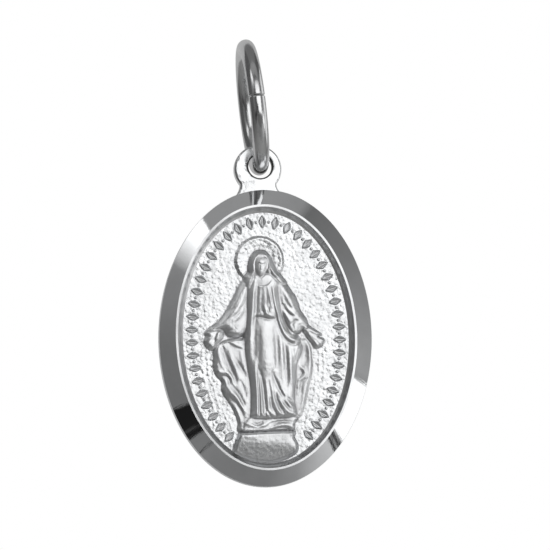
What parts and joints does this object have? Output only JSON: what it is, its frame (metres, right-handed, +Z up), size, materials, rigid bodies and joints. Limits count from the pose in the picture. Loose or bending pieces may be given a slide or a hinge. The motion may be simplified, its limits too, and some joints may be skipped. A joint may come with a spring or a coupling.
{
  "type": "religious medal pendant",
  "caption": "Oval silver devotional medal with a raised robed figure, leaf border and cut bevel, hanging by its eyelet from a split jump ring.",
  "frame": {"origin": "inner top of the jump ring, where a chain or cord passes", "axes": "+Z up along the hanging medal, the medal's front faces -Y, +X to the right seen from the front"},
  "size_m": [0.013, 0.0082, 0.0272],
  "materials": {
    "struck_silver": "struck sterling silver: mirror-cut bevel, fine pebbled satin field, brushed relief, plain back",
    "polished_silver": "polished sterling silver wire, slightly dulled by wear"
  },
  "bodies": {
    "ring": {"jump_ring": "polished_silver"},
    "medal": {"medal": "struck_silver"}
  },
  "joints": [
    {"name": "medal_swing", "type": "hinge", "parent": "ring", "child": "medal", "pos_m": [0.00063, 0, -0.00677], "axis": [0, 1, 0], "range_deg": [-115, 115]}
  ]
}
